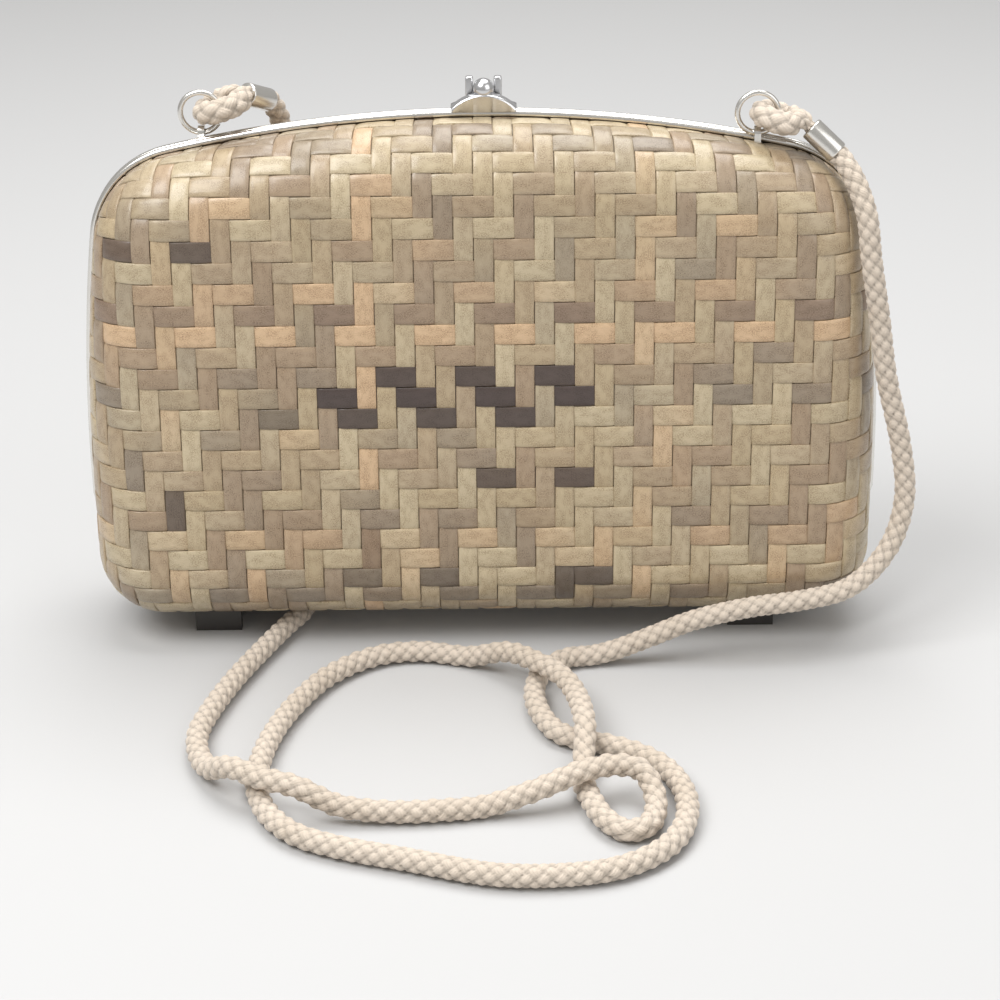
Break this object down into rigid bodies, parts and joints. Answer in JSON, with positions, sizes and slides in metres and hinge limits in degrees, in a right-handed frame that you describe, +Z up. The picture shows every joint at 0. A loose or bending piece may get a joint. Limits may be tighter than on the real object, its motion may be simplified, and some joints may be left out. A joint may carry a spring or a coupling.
{
  "type": "woven box bag",
  "caption": "Hard clamshell clutch bag woven from cane strips in a twill, with a metal rim, snap clasp, base hinges and a braided shoulder strap on split rings.",
  "frame": {"origin": "ground level under the middle of the bag, on the plane where the two halves meet", "axes": "+X to the bag's right as seen from the front, +Y to the back, +Z up"},
  "size_m": [0.2136, 0.1719, 0.1449],
  "materials": {
    "cane": "satin varnish",
    "lining": "satin",
    "nickel": "polished nickel",
    "chrome": "polished",
    "cotton": "braided cotton"
  },
  "bodies": {
    "front_half": {"front_shell": "cane", "front_lining": "lining", "front_frame": "nickel", "front_clasp": "chrome", "right_eyelet": "nickel", "right_strap_loop": "cotton", "right_ferrule": "nickel", "strap_front": "cotton", "front_hinge_left": "nickel", "front_hinge_right": "nickel", "hinge_pin_left": "nickel", "hinge_pin_right": "nickel"},
    "rear_half": {"rear_shell": "cane", "rear_lining": "lining", "rear_frame": "nickel", "rear_clasp": "chrome", "left_eyelet": "nickel", "left_strap_loop": "cotton", "left_ferrule": "nickel", "strap_back": "cotton", "rear_hinge_left": "nickel", "rear_hinge_right": "nickel"},
    "right_ring": {"right_ring": "nickel"},
    "left_ring": {"left_ring": "nickel"}
  },
  "joints": [
    {"name": "open", "type": "hinge", "parent": "front_half", "child": "rear_half", "pos_m": [0, 0, 0.0031], "axis": [-1, 0, 0], "range_deg": [0, 70], "deforming": ["strap_back"]},
    {"name": "right_ring_swing", "type": "hinge", "parent": "front_half", "child": "right_ring", "pos_m": [0.0685, -0.00285, 0.13118], "axis": [1, 0, 0], "range_deg": [-25, 25], "deforming": ["right_strap_loop"]},
    {"name": "left_ring_swing", "type": "hinge", "parent": "rear_half", "child": "left_ring", "pos_m": [-0.0685, 0.00285, 0.13118], "axis": [1, 0, 0], "range_deg": [-25, 25], "deforming": ["left_strap_loop"]}
  ]
}
